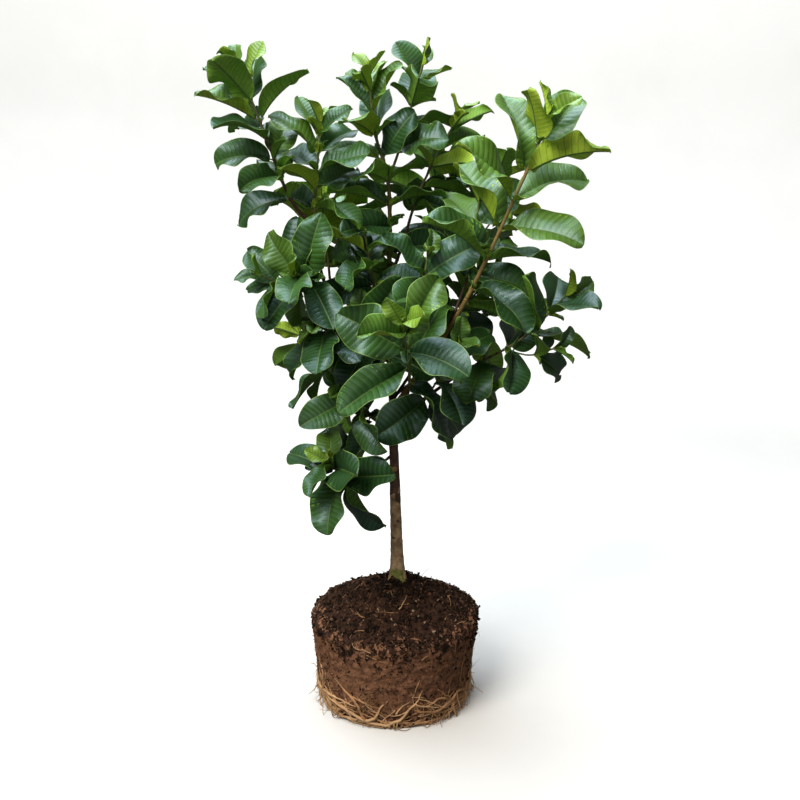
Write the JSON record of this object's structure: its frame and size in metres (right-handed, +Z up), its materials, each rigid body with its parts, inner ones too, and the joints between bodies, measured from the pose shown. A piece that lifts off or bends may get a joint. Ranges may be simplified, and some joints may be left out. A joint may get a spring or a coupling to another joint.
{
  "type": "sapling with root ball",
  "caption": "Young broad-leaved sapling with a short slim trunk, upright boughs and an open leafy crown, lifted from its pot with a bare cylindrical root ball of soil and circling roots.",
  "frame": {"origin": "centre of the root ball's flat underside", "axes": "+Z up along the trunk, -Y towards the side seen from the front, +X to that viewer's right"},
  "size_m": [0.4677, 0.4053, 0.8489],
  "materials": {
    "soil": "matte",
    "pale_root": "matte",
    "bark": "matte",
    "leaf": "satin"
  },
  "bodies": {
    "root": {"root_ball": "soil", "circling_roots": "pale_root", "trunk": "bark", "bough_centre": "bark", "bough_centre_right": "bark", "bough_inner_left": "bark", "bough_centre_low": "bark", "bough_inner_front": "bark", "bough_left": "bark", "bough_left_top": "bark", "bough_left_middle": "bark", "bough_left_low": "bark", "bough_left_inner": "bark", "bough_right": "bark", "bough_right_inner": "bark", "bough_right_rear": "bark", "bough_right_middle": "bark", "bough_right_low": "bark", "bough_front": "bark", "bough_front_low": "bark", "bough_front_right": "bark", "bough_lower_left": "bark", "bough_back_left": "bark", "bough_back_right": "bark", "bough_back_low": "bark", "bough_back_low_left": "bark", "bough_back_low_right": "bark", "foliage_centre": "leaf", "foliage_centre_right": "leaf", "foliage_inner_left": "leaf", "foliage_centre_low": "leaf", "foliage_inner_front": "leaf", "foliage_left": "leaf", "foliage_left_top": "leaf", "foliage_left_middle": "leaf", "foliage_left_low": "leaf", "foliage_left_inner": "leaf", "foliage_right": "leaf", "foliage_right_inner": "leaf", "foliage_right_rear": "leaf", "foliage_right_middle": "leaf", "foliage_right_low": "leaf", "foliage_front": "leaf", "foliage_front_low": "leaf", "foliage_front_right": "leaf", "foliage_lower_left": "leaf", "foliage_back_left": "leaf", "foliage_back_right": "leaf", "foliage_back_low": "leaf", "foliage_back_low_left": "leaf", "foliage_back_low_right": "leaf"}
  },
  "joints": []
}
